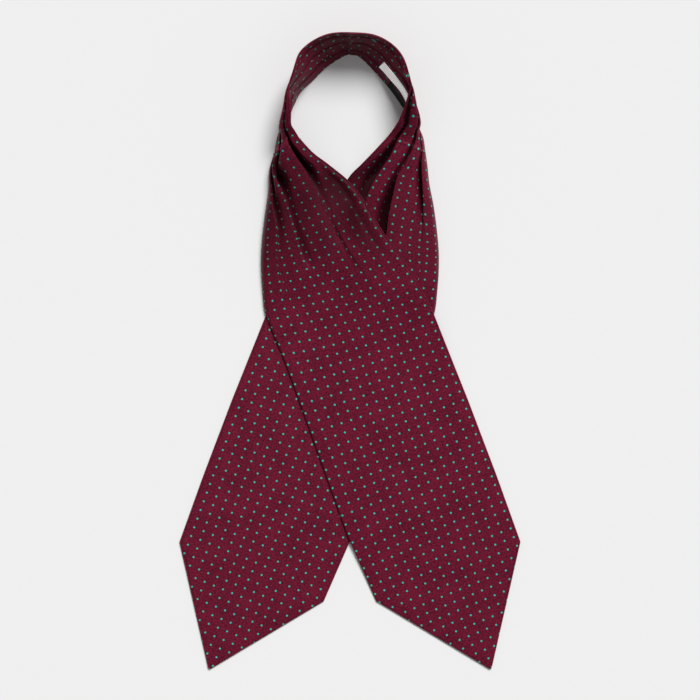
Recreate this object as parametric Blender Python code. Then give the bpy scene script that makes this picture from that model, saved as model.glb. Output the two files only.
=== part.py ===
"""Silk day cravat, laid out on its back.

The neckband stands in a ring at the top. Its pleats are sewn down to a line at
each side, and from there two wide blades open out flat, cross, and end in points.
The over blade runs from the left shoulder of the ring down to the right and lies
on the under blade, which is its mirror image.

Lengths in the tables are millimetres. x and y are where a piece is seen from
straight above, so every point is brought in towards the middle for its height.
"""
import math
from collections import namedtuple

import bmesh
import bpy
from mathutils import Vector
from mathutils.bvhtree import BVHTree

MM = 0.001

# Cloth and seams
CLOTH = 1.8              # two layers of silk twill over a light interlining
SEAM_GAP = 0.3           # between pieces at the sewn lines
LABEL_THICKNESS = 1.0    # a folded woven label
CLEARANCE = 0.6          # the over blade above the under blade
FOLD_STEP = 1.5          # how far a pleat's lip stands out from the foot of its step
OPEN_STEP = 5.0          # the same two rows of points once the pleat has run out
SHOULDER_DROP = 0.1      # how much of the crown's height is lost before the side rolls down
CROWN_AT = 0.55          # the crown's place across the top of a blade

# View that the plan sizes were taken from
VIEW_HEIGHT = 2530.0     # the eye above the table
FRAME_SHIFT = 2.8        # puts the middle of the whole cravat on the origin

# Steps of the mesh
FOLD_ROWS = 7.6          # along the pleated part of a blade
OVER_ROWS = 9.5          # along the flat part of the over blade
UNDER_ROWS = 24.0        # along the flat part of the under blade
TIP_ROWS = 6             # from the corners of a blade to its tip
BAND_ROWS = 6.6          # along the neckband
RIDE_RADIUS = 11.0       # how far round a point the under blade is felt
RIDE_SMOOTHING = 9       # passes that ease the over blade down from what it lies on

# Cross sections of a blade from the seam to the tip. along: distance from the seam.
# outer, inner: its two edges. rim, crown: heights at the inner edge and in the middle.
# roll: radius of the rolled outer side. lip, dip: each pleat's place from the inner
# edge, and the depth of the step beside it. trough, trough_depth: the soft hollow
# that runs beside the inner edge.
Section = namedtuple("Section", "along outer_x outer_y inner_x inner_y rim crown roll "
                     "lip_1 lip_2 lip_3 dip_1 dip_2 dip_3 trough trough_depth")

OVER_TOP = [
    Section(0.0, -72.9, 190.1, -49.2, 205.1, 22.0, 22.0, 9.0, 12.0, 27.0, 37.0, 2.0, 1.5, 1.2, 11, 0.0),
    Section(15.0, -77.5, 175.6, -35.7, 190.6, 17.0, 20.0, 9.0, 16.4, 45.5, 52.0, 6.0, 7.0, 3.0, 11, 1.5),
    Section(32.0, -78.6, 155.4, -21.7, 180.0, 12.0, 17.0, 9.0, 21.6, 50.9, 64.0, 7.0, 7.0, 5.0, 11, 3.5),
    Section(54.5, -82.0, 131.2, -0.7, 162.6, 6.0, 14.0, 8.0, 32.8, 63.6, 78.0, 4.0, 3.0, 4.5, 11, 4.5),
    Section(76.5, -84.9, 106.1, 13.0, 144.8, 3.0, 12.0, 8.0, 37.3, 71.4, 89.0, 1.5, 2.5, 2.5, 12, 4.0),
    Section(104.5, -85.9, 83.0, 31.3, 114.8, 2.0, 10.0, 7.0, 40.4, 80.4, 106.0, 0.5, 2.5, 0.0, 14, 2.5),
]
UNDER_TOP = [
    Section(0.0, -72.9, 191.1, -36.7, 206.5, 14.0, 15.0, 6.0, 13.5, 26.9, 38.0, 2.0, 2.0, 1.2, 11, 0.0),
    Section(14.0, -74.8, 177.6, -23.2, 192.0, 11.0, 15.0, 7.0, 16.2, 33.1, 48.3, 7.0, 3.5, 6.0, 11, 0.0),
    Section(30.0, -76.7, 160.2, -11.6, 180.0, 8.0, 14.0, 8.0, 19.2, 36.8, 61.0, 8.0, 6.0, 6.0, 12, 0.0),
    Section(52.0, -81.1, 137.0, 1.0, 166.9, 3.0, 13.0, 8.0, 23.1, 45.6, 76.3, 8.0, 9.0, 4.0, 12, 0.0),
    Section(76.5, -84.9, 106.1, 13.0, 144.8, 1.8, 12.0, 8.0, 26.2, 53.5, 89.7, 5.0, 8.5, 2.0, 17, 0.0),
    Section(104.5, -85.9, 83.0, 31.3, 114.8, 1.8, 10.0, 7.0, 36.0, 68.0, 106.0, 1.0, 4.5, 0.0, 17, 0.0),
]
BOTH_LOW = [
    Section(127.5, -84.4, 57.9, 44.4, 96.5, 1.8, 8.0, 6.0, 43.0, 86.0, 115.0, 0, 0, 0, 18, 1.2),
    Section(148.0, -81.1, 33.8, 55.0, 82.0, 1.8, 5.5, 4.0, 44.0, 88.0, 119.0, 0, 0, 0, 19, 0.5),
    Section(203.0, -60.3, -18.3, 81.1, 33.8, CLOTH, CLOTH, 0.9, 44.0, 89.0, 120.0, 0, 0, 0, 19, 0.0),
    Section(291.5, -30.2, -101.5, 113.9, -48.2, CLOTH, CLOTH, 0.9, 44.0, 90.0, 121.0, 0, 0, 0, 19, 0.0),
    Section(373.0, -1.9, -180.5, 141.9, -122.1, CLOTH, CLOTH, 0.9, 44.0, 90.0, 122.0, 0, 0, 0, 19, 0.0),
    Section(440.5, 25.2, -242.4, 164.5, -185.1, CLOTH, CLOTH, 0.9, 43.0, 88.0, 118.0, 0, 0, 0, 19, 0.0),
    Section(542.0, 134.6, -307.7, 136.8, -306.7, CLOTH, CLOTH, 0.3, 0.6, 1.2, 1.7, 0, 0, 0, 19, 0.0),
]
OVER_SECTIONS = OVER_TOP + BOTH_LOW
UNDER_SECTIONS = UNDER_TOP + BOTH_LOW
FLAT_FROM = 203.0        # beyond this the blades lie flat with straight edges
CORNERS_AT = 440.5       # where the sides turn in to the point

# Stations round the neckband, from the over blade's seam to the under blade's.
# upper: the edge that stands up. foot: the edge on the table. bulge: how far the band
# swells out between them. sewn: 1 where it has the section of the blade that it is
# sewn to. lip: each pleat's place as a share of the width.
Station = namedtuple("Station", "upper_x upper_y upper_z foot_x foot_y bulge sewn lip_1 lip_2 lip_3")

BAND_STATIONS = [
    Station(-49.2, 205.1, 22.0, -72.9, 190.1, 0.0, 1.0, 0.28, 0.63, 0.86),
    Station(-53.0, 211.2, 26.0, -70.8, 203.8, 4.0, 0.45, 0.26, 0.60, 0.85),
    Station(-56.5, 217.1, 30.5, -66.5, 216.5, 7.8, 0.0, 0.24, 0.58, 0.85),
    Station(-56.9, 233.5, 37.0, -57.9, 231.6, 7.7, 0.0, 0.24, 0.55, 0.85),
    Station(-58.7, 250.9, 41.0, -49.2, 249.2, 6.0, 0.0, 0.20, 0.50, 0.80),
    Station(-54.0, 274.1, 40.5, -36.0, 261.9, 2.5, 0.0, 0.20, 0.50, 0.80),
    Station(-48.3, 288.5, 36.0, -24.6, 273.0, 2.0, 0.0, 0.20, 0.50, 0.80),
    Station(-35.7, 299.2, 36.0, -15.6, 279.2, 1.5, 0.0, 0.20, 0.50, 0.80),
    Station(-19.3, 305.9, 38.0, -6.8, 284.4, 1.5, 0.0, 0.20, 0.50, 0.80),
    Station(1.9, 306.9, 40.5, 1.9, 286.2, 1.0, 0.0, 0.20, 0.50, 0.80),
    Station(24.1, 304.5, 38.0, 11.0, 283.0, 1.5, 0.0, 0.20, 0.50, 0.80),
    Station(42.5, 294.3, 35.0, 22.2, 272.0, 1.5, 0.0, 0.20, 0.50, 0.80),
    Station(53.1, 279.9, 38.5, 30.7, 263.0, 2.0, 0.0, 0.20, 0.50, 0.80),
    Station(57.9, 255.7, 40.0, 41.8, 249.9, 7.0, 0.0, 0.15, 0.48, 0.80),
    Station(54.5, 240.3, 34.5, 51.5, 236.0, 10.6, 0.0, 0.12, 0.45, 0.78),
    Station(47.3, 222.0, 25.0, 63.5, 219.0, 13.5, 0.0, 0.15, 0.43, 0.75),
    Station(42.6, 214.2, 19.5, 70.5, 206.0, 7.0, 0.45, 0.23, 0.50, 0.76),
    Station(36.7, 206.5, 14.0, 72.9, 191.1, 0.0, 1.0, 0.22, 0.55, 0.77),
]
BAND_DIP = 1.2           # depth of the steps of the band's sewn pleats
RING_CENTRE = (0.0, 228.0)

# Labels on the inner face of the band, as distance from its first station and
# shares of the band's width
Label = namedtuple("Label", "start end high low")
WHITE_LABEL = Label(171.0, 219.0, 0.62, 0.82)
BLACK_LABEL = Label(194.0, 222.0, 0.85, 0.97)

# Places across one cross section: a share of the way over each pleat's strip
STRIPS = [
    [0.0, 0.2, 0.4, 0.6, 0.8],
    [0.33, 0.67],
    [0.5],
    [0.5],
]
ROLL_STEPS = 3

SILK = (0.123, 0.011, 0.028)
LABEL_WHITE = (0.80, 0.80, 0.80)
LABEL_BLACK = (0.010, 0.010, 0.011)


def clear_scene():
    for item in list(bpy.data.objects):
        bpy.data.objects.remove(item, do_unlink=True)


def material(name, colour, roughness):
    finish = bpy.data.materials.new(name)
    finish.use_nodes = True
    shader = finish.node_tree.nodes["Principled BSDF"]
    shader.inputs["Base Color"].default_value = (*colour, 1.0)
    shader.inputs["Roughness"].default_value = roughness
    shader.inputs["Metallic"].default_value = 0.0
    return finish


def lerp(a, b, share):
    return a + (b - a) * share


def ease(share):
    share = min(1.0, max(0.0, share))
    return share * share * (3.0 - 2.0 * share)


def placed(point):
    """A point of the plan view, in millimetres, as a place in the room in metres."""
    nearness = 1.0 - point.z / VIEW_HEIGHT
    return Vector((point.x * nearness * MM, (point.y * nearness + FRAME_SHIFT) * MM, point.z * MM))


def in_room(grid):
    return [[placed(point) for point in line] for line in grid]


def table_at(keys, rows, key, straight_from=math.inf):
    """The table's row at a key between its own: a smooth curve, then straight lines."""
    last = len(keys) - 1
    at = max(i for i in range(last) if keys[i] <= key or i == 0)
    span = keys[at + 1] - keys[at]
    share = (key - keys[at]) / span
    result = []
    for column in range(len(rows[0])):
        start, end = rows[at][column], rows[at + 1][column]
        slope = (end - start) / span
        if keys[at] >= straight_from:
            result.append(start + slope * (key - keys[at]))
            continue
        before, after = slope, slope
        if at > 0:
            before = (end - rows[at - 1][column]) / (keys[at + 1] - keys[at - 1])
        if at + 2 <= last and keys[at + 1] < straight_from:
            after = (rows[at + 2][column] - start) / (keys[at + 2] - keys[at])
        elif at + 2 <= last:
            after = (rows[at + 2][column] - end) / (keys[at + 2] - keys[at + 1])
        square, cube = share * share, share * share * share
        result.append(
            start * (2 * cube - 3 * square + 1)
            + before * span * (cube - 2 * square + share)
            + end * (3 * square - 2 * cube)
            + after * span * (cube - square)
        )
    return type(rows[0])(*result)


def side_length(roll, height):
    """Length of the quarter ellipse that carries the side down to the table."""
    return math.pi / 2 * math.sqrt((roll * roll + height * height) / 2)


def shoulder_curve(inner, outer, rim, crown, roll):
    """Curve of a section: over the crown, round the shoulder and down to the table."""
    direction = (outer - inner).normalized()
    top = (outer - inner).length - roll
    shoulder = crown * (1.0 - SHOULDER_DROP)
    side = side_length(roll, shoulder)

    def at(distance):
        if distance <= top:
            share = distance / top
            if share < CROWN_AT:
                height = rim + (crown - rim) * math.sin(math.pi / 2 * share / CROWN_AT)
            else:
                fall = (share - CROWN_AT) / (1 - CROWN_AT)
                height = crown * (1.0 - SHOULDER_DROP * fall * fall)
            return inner + direction * distance + Vector((0, 0, height))
        angle = math.pi / 2 * min(1.0, (distance - top) / side)
        reach = top + roll * math.sin(angle)
        return inner + direction * reach + Vector((0, 0, shoulder * math.cos(angle)))

    return at, top, top + side


def columns(lips, dips, whole, shoulder, step, trough=0.0, trough_depth=0.0):
    """Places across a section: (distance, depth below the plain curve, is a step)."""
    edges = [0.0] + list(lips)
    ends = [lip - step for lip in lips] + [shoulder]
    if shoulder < lips[-1] + 1.0:
        ends[-1] = lerp(lips[-1], whole, 0.4)
    feet = list(dips) + [0.0]
    found = []
    for number, shares in enumerate(STRIPS):
        for share in shares:
            distance = lerp(edges[number], ends[number], share)
            reach = min(ends[number] - edges[number], 4.0 + 1.1 * feet[number])
            depth = feet[number] * (1.0 - ease((ends[number] - distance) / max(reach, 0.1)))
            found.append((distance, depth, False))
        found.append((ends[number], feet[number], number < 3))
        if number < 3:
            found.append((lips[number], 0.0, True))
    start = ends[-1]
    for turn in range(1, ROLL_STEPS + 1):
        found.append((lerp(start, whole, turn / ROLL_STEPS), 0.0, False))
    result = []
    for distance, depth, is_step in found:
        hollow = trough_depth * (1.0 - ease(abs(distance - trough) / 8.0))
        result.append((distance, depth + hollow, is_step))
    return result


def blade_rows(sections, along):
    """Outer and inner faces of a blade at one distance from the seam, before the pleats
    are pressed in, with the depth of the pleats at each point."""
    keys = [row.along for row in sections]
    row = table_at(keys, sections, along, FLAT_FROM)
    inner = Vector((row.inner_x, row.inner_y, 0))
    outer = Vector((row.outer_x, row.outer_y, 0))
    face, top, whole = shoulder_curve(inner, outer, row.rim, row.crown, row.roll)
    direction = (outer - inner).normalized()
    width = (outer - inner).length
    inset = min(CLOTH, 0.3 * width)
    lining, lining_top, lining_whole = shoulder_curve(
        inner, outer - direction * inset, max(0.0, row.rim - CLOTH),
        max(0.0, row.crown - CLOTH), max(0.1 * row.roll, row.roll - CLOTH))
    dips = [max(0.0, dip) for dip in (row.dip_1, row.dip_2, row.dip_3)]
    folded = 1.0 - ease((along - 100.0) / 60.0)
    step = lerp(min(OPEN_STEP, 0.035 * width), FOLD_STEP, folded)
    places = columns((row.lip_1, row.lip_2, row.lip_3), dips, whole, top, step,
                     row.trough, max(0.0, row.trough_depth))
    front, back, depths = [], [], []
    for distance, depth, is_step in places:
        front.append(face(distance))
        shifted = distance + (CLOTH if is_step and folded > 0 else 0.0)
        if shifted <= top:
            behind = shifted / top * lining_top
        else:
            behind = lerp(lining_top, lining_whole, min(1.0, (shifted - top) / (whole - top)))
        back.append(lining(behind))
        depths.append(depth)
    return front, back, depths


def grid_normals(grid, turn=1):
    """Directions out of a grid of points, which runs along, then across. turn is -1 for
    the neckband, whose stations run the other way to a blade's."""
    rows, across = len(grid), len(grid[0])
    result = []
    for i in range(rows):
        line = []
        for j in range(across):
            along = grid[min(i + 1, rows - 1)][j] - grid[max(i - 1, 0)][j]
            over = grid[i][min(j + 1, across - 1)] - grid[i][max(j - 1, 0)]
            normal = over.cross(along) * turn
            line.append(normal.normalized() if normal.length > 1e-9 else Vector((0, 0, 1)))
        result.append(line)
    return result


def pressed(grid, depths, floor, turn=1):
    """The grid with its pleats pressed in, and nothing below the floor height."""
    normals = grid_normals(grid, turn)
    result = []
    for points, directions, downs in zip(grid, normals, depths):
        line = []
        for point, direction, down in zip(points, directions, downs):
            moved = point - direction * down
            moved.z = max(moved.z, min(point.z, floor))
            line.append(moved)
        result.append(line)
    return result


def closed_wall(name, front, back, finish):
    """A closed wall between two grids of the same size."""
    rows, across = len(front), len(front[0])
    mesh = bmesh.new()
    outside = [[mesh.verts.new(point) for point in line] for line in front]
    inside = [[mesh.verts.new(point) for point in line] for line in back]
    for i in range(rows - 1):
        for j in range(across - 1):
            for face, order in ((outside, 1), (inside, -1)):
                corners = [face[i][j], face[i][j + 1], face[i + 1][j + 1], face[i + 1][j]]
                corners = corners[::order]
                mesh.faces.new((corners[0], corners[1], corners[2]))
                mesh.faces.new((corners[0], corners[2], corners[3]))
    ring = [(i, 0) for i in range(rows)]
    ring += [(rows - 1, j) for j in range(1, across)]
    ring += [(i, across - 1) for i in range(rows - 2, -1, -1)]
    ring += [(0, j) for j in range(across - 2, 0, -1)]
    for (i, j), (k, m) in zip(ring, ring[1:] + ring[:1]):
        mesh.faces.new((outside[i][j], outside[k][m], inside[k][m]))
        mesh.faces.new((outside[i][j], inside[k][m], inside[i][j]))
    bmesh.ops.recalc_face_normals(mesh, faces=mesh.faces)
    if mesh.calc_volume(signed=True) < 0:
        bmesh.ops.reverse_faces(mesh, faces=mesh.faces)
    data = bpy.data.meshes.new(name)
    mesh.to_mesh(data)
    mesh.free()
    data.materials.append(finish)
    data.shade_smooth()
    data.set_sharp_from_angle(angle=math.radians(50))
    piece = bpy.data.objects.new(name, data)
    bpy.context.scene.collection.objects.link(piece)
    return piece


def row_places(flat_step):
    """Distances from the seam at which a blade has a row of points."""
    places = []
    spans = [(SEAM_GAP / 2, FLAT_FROM, FOLD_ROWS), (FLAT_FROM, CORNERS_AT, flat_step)]
    for start, end, step in spans:
        count = math.ceil((end - start) / step)
        places += [lerp(start, end, i / count) for i in range(count)]
    tip = OVER_SECTIONS[-1].along
    places += [lerp(CORNERS_AT, tip, i / TIP_ROWS) for i in range(TIP_ROWS + 1)]
    return places


def blade_faces(sections, flat_step, side):
    """The two faces of a blade in room coordinates. side is 1, or -1 for the mirror image."""
    front, back, depths = [], [], []
    for along in row_places(flat_step):
        over, under, downs = blade_rows(sections, along)
        front.append(over)
        back.append(under)
        depths.append(downs)
    front = pressed(front, depths, CLOTH)
    back = pressed(back, depths, 0.0)
    for grid in (front, back):
        for line in grid:
            for point in line:
                point.x *= side
                point.z = max(point.z, 0.0)
    return in_room(front), in_room(back)


def highest_near(tree, x, y, radius):
    """The highest point of a surface within a radius of a place, or the table."""
    found = 0.0
    for reach in (0.0, 0.5, 1.0):
        turns = 1 if reach == 0.0 else 8
        for turn in range(turns):
            angle = 2 * math.pi * turn / turns
            start = Vector((x + radius * reach * math.cos(angle), y + radius * reach * math.sin(angle), 1.0))
            hit = tree.ray_cast(start, Vector((0, 0, -1)))[0]
            if hit is not None:
                found = max(found, hit.z)
    return found


def laid_on(front, back, carrier):
    """Lifts a blade's two faces clear of the piece that carries it."""
    body = bmesh.new()
    body.from_mesh(carrier.data)
    tree = BVHTree.FromBMesh(body)
    body.free()
    rows, across = len(back), len(back[0])
    need = []
    for i in range(rows):
        line = []
        for j in range(across):
            surface = highest_near(tree, back[i][j].x, back[i][j].y, RIDE_RADIUS * MM)
            free = surface + CLEARANCE * MM - back[i][j].z if surface > 0 else 0.0
            line.append(max(0.0, free))
        need.append(line)
    lift = [line[:] for line in need]
    for _ in range(RIDE_SMOOTHING):
        eased = [line[:] for line in lift]
        for i in range(rows):
            for j in range(across):
                near = [lift[k][m] for k, m in ((i - 1, j), (i + 1, j), (i, j - 1), (i, j + 1))
                        if 0 <= k < rows and 0 <= m < across]
                eased[i][j] = max(need[i][j], sum(near) / len(near))
        lift = eased
    for grid in (front, back):
        for i in range(rows):
            for j in range(across):
                grid[i][j].z += lift[i][j]


def band_keys():
    """Distance round the ring of each station's middle."""
    keys = [0.0]
    for a, b in zip(BAND_STATIONS, BAND_STATIONS[1:]):
        across = (b.upper_x + b.foot_x - a.upper_x - a.foot_x) / 2
        up = (b.upper_y + b.foot_y - a.upper_y - a.foot_y) / 2
        keys.append(keys[-1] + math.hypot(across, up))
    return keys


def leaning_curve(upper, foot, bulge):
    """Curve of the standing band: from its upper edge, swelling out, to the table."""
    middle = (upper + foot) / 2
    outward = Vector((middle.x - RING_CENTRE[0], middle.y - RING_CENTRE[1], 0)).normalized()

    def at(share):
        return upper.lerp(foot, share) + outward * (4.0 * bulge * share * (1.0 - share))

    return at


def band_line(keys, distance):
    """The band's row of places at a distance round the ring. Each has its point on the
    outer face, the one behind it, the one on the sewn section's lining, how far the row
    is sewn, the depth of the pleats, and its share of the width on the inner face."""
    row = table_at(keys, BAND_STATIONS, distance)
    seam = OVER_TOP[0] if distance < keys[-1] / 2 else UNDER_TOP[0]
    upper = Vector((row.upper_x, row.upper_y, row.upper_z))
    foot = Vector((row.foot_x, row.foot_y, 0))
    sewn = min(1.0, max(0.0, row.sewn))
    leaning = leaning_curve(upper, foot, row.bulge)
    ground = Vector((upper.x, upper.y, 0))
    crown = max(seam.crown, row.upper_z)
    face, top, whole = shoulder_curve(ground, foot, row.upper_z, crown, seam.roll)
    direction = (foot - ground).normalized()
    lining, _, lining_whole = shoulder_curve(
        ground, foot - direction * CLOTH, row.upper_z - CLOTH, crown - CLOTH, seam.roll - CLOTH)
    ring_lips = (row.lip_1 * whole, row.lip_2 * whole, row.lip_3 * whole)
    seam_lips = (seam.lip_1, seam.lip_2, seam.lip_3)
    lips = [lerp(a, b, sewn) for a, b in zip(ring_lips, seam_lips)]
    line = []
    for across, depth, is_step in columns(lips, (BAND_DIP,) * 3, whole, top, FOLD_STEP):
        share = across / whole
        behind = min(1.0, (across + (CLOTH if is_step else 0.0)) / whole)
        outer = leaning(share).lerp(face(across), sewn)
        line.append((outer, leaning(behind), lining(behind * lining_whole), sewn, depth, behind))
    return line


def band_faces(distances):
    """Outer and inner faces of the neckband, in millimetres, at distances round the ring,
    with the share of the width of each point of the inner face."""
    keys = band_keys()
    lines = [band_line(keys, distance) for distance in distances]
    outer = [[place[0] for place in line] for line in lines]
    behind = [[place[1] for place in line] for line in lines]
    depths = [[place[4] for place in line] for line in lines]
    shares = [[place[5] for place in line] for line in lines]
    inner = []
    for line, directions in zip(lines, grid_normals(behind, -1)):
        points = []
        for place, direction in zip(line, directions):
            plain = place[1] - direction * CLOTH
            points.append(plain.lerp(place[2], place[3]))
        points[-1].z = 0.0
        inner.append(points)
    return pressed(outer, depths, 0.0, -1), inner, shares


def even_steps(start, end, step):
    count = max(1, math.ceil((end - start) / step))
    return [lerp(start, end, i / count) for i in range(count + 1)]


def between(keys, points, key):
    """The point at a key between those of a line of points."""
    at = max(i for i in range(len(keys) - 1) if keys[i] <= key or i == 0)
    return points[at].lerp(points[at + 1], (key - keys[at]) / (keys[at + 1] - keys[at]))


def make_label(name, label, band, finish):
    """A folded label on the inner face of the band, made from that face's own points."""
    distances, inner, shares = band
    steps = [label.start] + [d for d in distances if label.start < d < label.end] + [label.end]
    widths = even_steps(label.high, label.low, 0.08)
    face = []
    for distance in steps:
        line = []
        for share in widths:
            along = [between(keys, points, share) for keys, points in zip(shares, inner)]
            line.append(between(distances, along, distance))
        face.append(line)
    normals = grid_normals(face, -1)
    near, far = SEAM_GAP, SEAM_GAP + LABEL_THICKNESS
    back = [[placed(p - n * near) for p, n in zip(*pair)] for pair in zip(face, normals)]
    front = [[placed(p - n * far) for p, n in zip(*pair)] for pair in zip(face, normals)]
    closed_wall(name, front, back, finish)


def make_neckband(finish):
    """The band's solid. Returns its inner face, for what is sewn on there."""
    length = band_keys()[-1]
    distances = even_steps(SEAM_GAP / 2, length - SEAM_GAP / 2, BAND_ROWS)
    outer, inner, shares = band_faces(distances)
    closed_wall("neckband", in_room(outer), in_room(inner), finish)
    return distances, inner, shares


def build():
    clear_scene()
    silk = material("silk_twill", SILK, 0.55)
    white = material("label_white", LABEL_WHITE, 0.7)
    black = material("label_black", LABEL_BLACK, 0.7)

    under_front, under_back = blade_faces(UNDER_SECTIONS, UNDER_ROWS, -1)
    under = closed_wall("blade_under", under_front, under_back, silk)

    over_front, over_back = blade_faces(OVER_SECTIONS, OVER_ROWS, 1)
    laid_on(over_front, over_back, under)
    closed_wall("blade_over", over_front, over_back, silk)

    band = make_neckband(silk)
    make_label("label_white", WHITE_LABEL, band, white)
    make_label("label_black", BLACK_LABEL, band, black)


build()
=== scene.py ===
# %% [markdown]
# # A silk day cravat, laid out on its back
# A day cravat is one long strip of doubled silk. The middle is pleated narrow and sewn,
# so that it can go round the neck, and the two ends open out into wide blades with
# points. Here it lies on a table: the neckband stands in a ring, the blades cross.
# The collision model gives the sizes and the place of every piece. This script makes
# the cloth that is seen, as thin closed shells on those forms.

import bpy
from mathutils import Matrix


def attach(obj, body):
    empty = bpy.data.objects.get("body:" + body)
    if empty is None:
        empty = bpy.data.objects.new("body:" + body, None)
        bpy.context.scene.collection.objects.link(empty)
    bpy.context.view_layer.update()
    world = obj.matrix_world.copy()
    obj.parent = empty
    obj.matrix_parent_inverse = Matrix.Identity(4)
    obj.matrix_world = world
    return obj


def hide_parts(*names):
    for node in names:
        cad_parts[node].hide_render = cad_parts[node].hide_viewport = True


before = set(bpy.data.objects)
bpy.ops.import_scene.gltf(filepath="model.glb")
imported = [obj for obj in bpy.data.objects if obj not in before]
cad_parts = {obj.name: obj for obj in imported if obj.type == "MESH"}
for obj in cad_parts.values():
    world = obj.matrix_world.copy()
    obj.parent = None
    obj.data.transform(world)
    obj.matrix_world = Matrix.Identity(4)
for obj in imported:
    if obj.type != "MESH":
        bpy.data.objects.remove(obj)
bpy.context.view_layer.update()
print("nodes:", sorted(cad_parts))

# %% Blender's modules
import math
from collections import namedtuple

import bmesh
import bpy
import numpy as np
from mathutils import Vector, noise
from mathutils.bvhtree import BVHTree

# %% [markdown]
# ## Sizes
# All lengths are millimetres until a point is placed in the room. The tables are those
# of the collision model with deeper folds: a row for each cross section, with its
# columns named, and smooth curves run through the rows. A table like this is easier to
# correct against a photograph than a sculpted mesh, because one number moves one fold.

# %% Sizes of the cloth and the view
MM = 0.001
CLOTH = 1.8              # two layers of silk over a light interlining
SEWN_GAP = 0.02          # between pieces at the sewn lines, so that no light shows through
LABEL_GAP = 0.3          # between a label and the silk behind it
LABEL_THICKNESS = 0.7
CLEARANCE = 0.6          # the over blade above the under blade
FOLD_STEP = 1.5          # how far a lip stands out from the foot of its step
OPEN_STEP = 5.0          # the same two places once the pleat has run out
SHOULDER_DROP = 0.1
CROWN_AT = 0.55
VIEW_HEIGHT = 2530.0     # the eye above the table, which the plan sizes were taken from
FRAME_SHIFT = 2.8        # puts the middle of the whole cravat on the origin
HALF = 75.0              # half the width of the cut
FLAT_FROM = 203.0        # beyond this a blade lies flat with straight edges
CORNERS_AT = 440.5       # where its sides turn in to the point

# %% The cross sections of a blade
Section = namedtuple("Section", "along outer_x outer_y inner_x inner_y rim crown roll lip_1 lip_2 lip_3")

OVER_TOP = [
    Section(0.0, -72.9, 190.1, -49.2, 205.1, 22.0, 22.0, 9.0, 12.0, 27.0, 37.0),
    Section(15.0, -77.5, 175.6, -35.7, 190.6, 17.0, 20.0, 9.0, 16.4, 45.5, 52.0),
    Section(32.0, -78.6, 155.4, -21.7, 180.0, 12.0, 17.0, 9.0, 21.6, 50.9, 64.0),
    Section(54.5, -82.0, 131.2, -0.7, 162.6, 6.0, 14.0, 8.0, 32.8, 63.6, 78.0),
    Section(76.5, -84.9, 106.1, 13.0, 144.8, 3.0, 12.0, 8.0, 37.3, 71.4, 89.0),
    Section(104.5, -85.9, 83.0, 31.3, 114.8, 2.0, 10.0, 7.0, 40.4, 80.4, 106.0),
]
UNDER_TOP = [
    Section(0.0, -72.9, 191.1, -36.7, 206.5, 14.0, 15.0, 6.0, 10.0, 26.9, 38.0),
    Section(14.0, -74.8, 177.6, -23.2, 192.0, 11.0, 15.0, 7.0, 16.2, 33.1, 48.3),
    Section(30.0, -76.7, 160.2, -11.6, 180.0, 8.0, 14.0, 8.0, 19.2, 36.8, 61.0),
    Section(52.0, -81.1, 137.0, 1.0, 166.9, 3.0, 13.0, 8.0, 23.1, 45.6, 76.3),
    Section(76.5, -84.9, 106.1, 13.0, 144.8, 1.8, 12.0, 8.0, 26.2, 53.5, 89.7),
    Section(104.5, -85.9, 83.0, 31.3, 114.8, 1.8, 10.0, 7.0, 36.0, 68.0, 106.0),
]
BOTH_LOW = [
    Section(127.5, -84.4, 57.9, 44.4, 96.5, 1.8, 8.0, 6.0, 43.0, 86.0, 115.0),
    Section(148.0, -81.1, 33.8, 55.0, 82.0, 1.8, 5.5, 4.0, 44.0, 88.0, 119.0),
    Section(203.0, -60.3, -18.3, 81.1, 33.8, CLOTH, CLOTH, 0.9, 44.0, 89.0, 120.0),
    Section(291.5, -30.2, -101.5, 113.9, -48.2, CLOTH, CLOTH, 0.9, 44.0, 90.0, 121.0),
    Section(373.0, -1.9, -180.5, 141.9, -122.1, CLOTH, CLOTH, 0.9, 44.0, 90.0, 122.0),
    Section(440.5, 25.2, -242.4, 164.5, -185.1, CLOTH, CLOTH, 0.9, 43.0, 88.0, 118.0),
    Section(542.0, 134.6, -307.7, 136.8, -306.7, CLOTH, CLOTH, 0.3, 0.6, 1.2, 1.7),
]

# %% The hollows beside the pleats, and their painted shade
# dip is the depth of the step under a lip, reach how wide the hollow beside it is. The
# trough runs beside the inner edge, where the cloth sinks behind its turned edge: it is
# deepest at its own place and comes up slowly over its length. The dips and the trough
# also set painted shade in the silk. shade is painted shade, the share of the light that
# the ring and the folds keep off, and rim the same beside the inner edge.
Hollow = namedtuple("Hollow", "along dip_1 reach_1 dip_2 reach_2 dip_3 reach_3 "
                    "trough depth length shade rim")

OVER_HOLLOWS = [
    Hollow(0.0, 4.0, 3.0, 2.0, 5.0, 1.5, 3.0, 9.0, 0.0, 20.0, 0.20, 0.0),
    Hollow(15.0, 9.0, 5.5, 10.0, 14.0, 3.0, 5.0, 9.0, 0.0, 20.0, 0.42, 0.0),
    Hollow(32.0, 8.0, 9.0, 9.0, 12.0, 7.0, 9.0, 9.0, 1.2, 26.0, 0.44, 0.0),
    Hollow(54.5, 2.0, 8.0, 3.0, 6.0, 5.0, 8.0, 10.0, 4.5, 34.0, 0.62, 0.0),
    Hollow(76.5, 0.8, 6.0, 2.5, 5.0, 2.5, 6.0, 11.0, 4.2, 36.0, 0.50, 0.0),
    Hollow(104.5, 0.3, 6.0, 3.0, 8.0, 0.0, 6.0, 14.0, 3.6, 36.0, 0.36, 0.0),
    Hollow(127.5, 0.0, 6.0, 0.0, 8.0, 0.0, 6.0, 15.0, 2.2, 34.0, 0.17, 0.0),
    Hollow(165.0, 0.0, 6.0, 0.0, 8.0, 0.0, 6.0, 16.0, 0.0, 30.0, 0.0, 0.0),
]
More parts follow.
